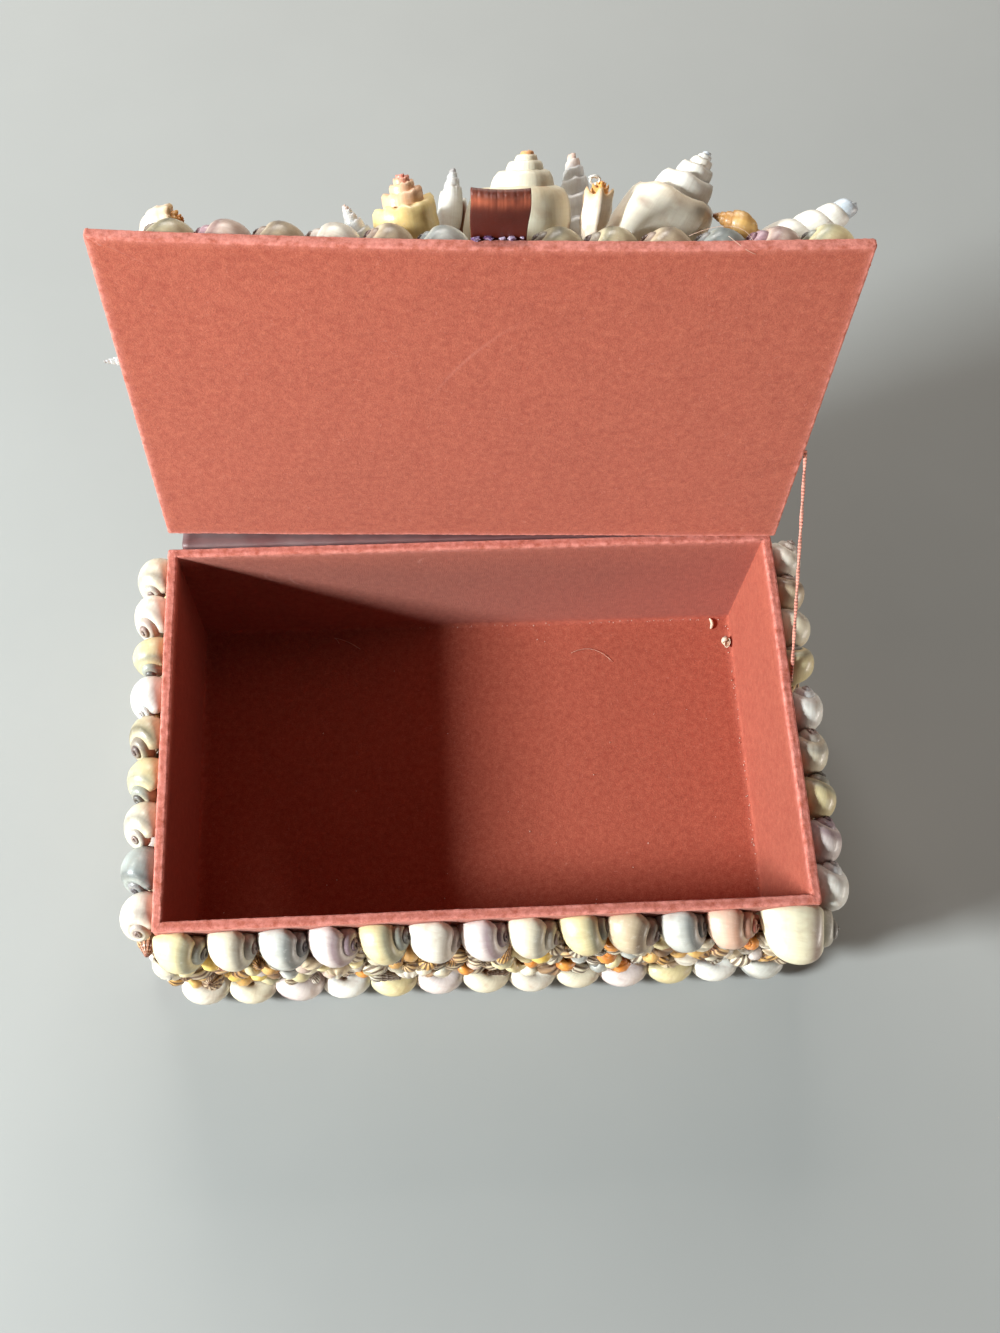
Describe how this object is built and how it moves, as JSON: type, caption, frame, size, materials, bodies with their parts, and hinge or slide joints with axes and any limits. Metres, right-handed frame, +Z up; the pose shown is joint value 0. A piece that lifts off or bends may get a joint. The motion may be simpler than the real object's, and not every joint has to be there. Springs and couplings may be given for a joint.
{
  "type": "shell box",
  "caption": "Hinged rectangular card box lined with flocked paper and covered with sea shells, its lid held open by a cord.",
  "frame": {"origin": "middle of the card box's flat underside, on the surface that it stands on", "axes": "+Z up, +X to the box's right end along its length, +Y to the hinge side"},
  "size_m": [0.2258, 0.2101, 0.2059],
  "materials": {
    "flocked_card": "flocked paper, matt",
    "satin_ribbon": "satin ribbon",
    "cord": "flat woven cord",
    "cream_shell": "polished sea shell",
    "ivory_shell": "polished sea shell",
    "grey_shell": "sea shell",
    "honey_shell": "small sea shells",
    "orange_shell": "ridged sea shell",
    "brown_shell": "ribbed sea shell"
  },
  "bodies": {
    "box": {"box_body": "flocked_card", "hinge_strip": "satin_ribbon", "stay_cord": "cord", "front_top_row": "cream_shell", "front_corner_shell": "cream_shell", "left_top_row": "ivory_shell", "right_top_row_back": "grey_shell", "right_top_row_front": "grey_shell", "back_top_row": "grey_shell", "front_foot_row": "cream_shell", "left_foot_row": "cream_shell", "right_foot_row": "cream_shell", "back_foot_row": "cream_shell", "front_small_shells": "honey_shell", "left_small_shells": "honey_shell", "right_small_shells": "honey_shell", "back_small_shells": "honey_shell"},
    "lid": {"lid_board": "flocked_card", "lid_front_row_left": "ivory_shell", "lid_front_row_right": "ivory_shell", "lid_left_row": "ivory_shell", "lid_right_row": "ivory_shell", "lid_back_row": "ivory_shell", "lid_small_shells": "honey_shell", "ribbon_pull": "satin_ribbon", "orange_whelk": "orange_shell", "white_spindle": "ivory_shell", "cream_whelk": "cream_shell", "grey_spire": "grey_shell", "spiny_shell": "orange_shell", "white_whelk": "ivory_shell", "brown_turret": "brown_shell", "long_spire": "grey_shell", "small_spire": "grey_shell", "knobbly_shell": "honey_shell", "edge_spire": "grey_shell", "left_crown_whelk": "cream_shell", "middle_crown_whelk": "ivory_shell", "right_crown_whelk": "cream_shell", "left_back_spire": "grey_shell", "right_back_spire": "orange_shell"}
  },
  "joints": [
    {"name": "lid_hinge", "type": "hinge", "parent": "box", "child": "lid", "pos_m": [0.0006, 0.0639, 0.06564], "axis": [0.9997, -0.0173, 0.0154], "range_deg": [0, 96.8], "deforming": ["stay_cord", "hinge_strip"]}
  ]
}
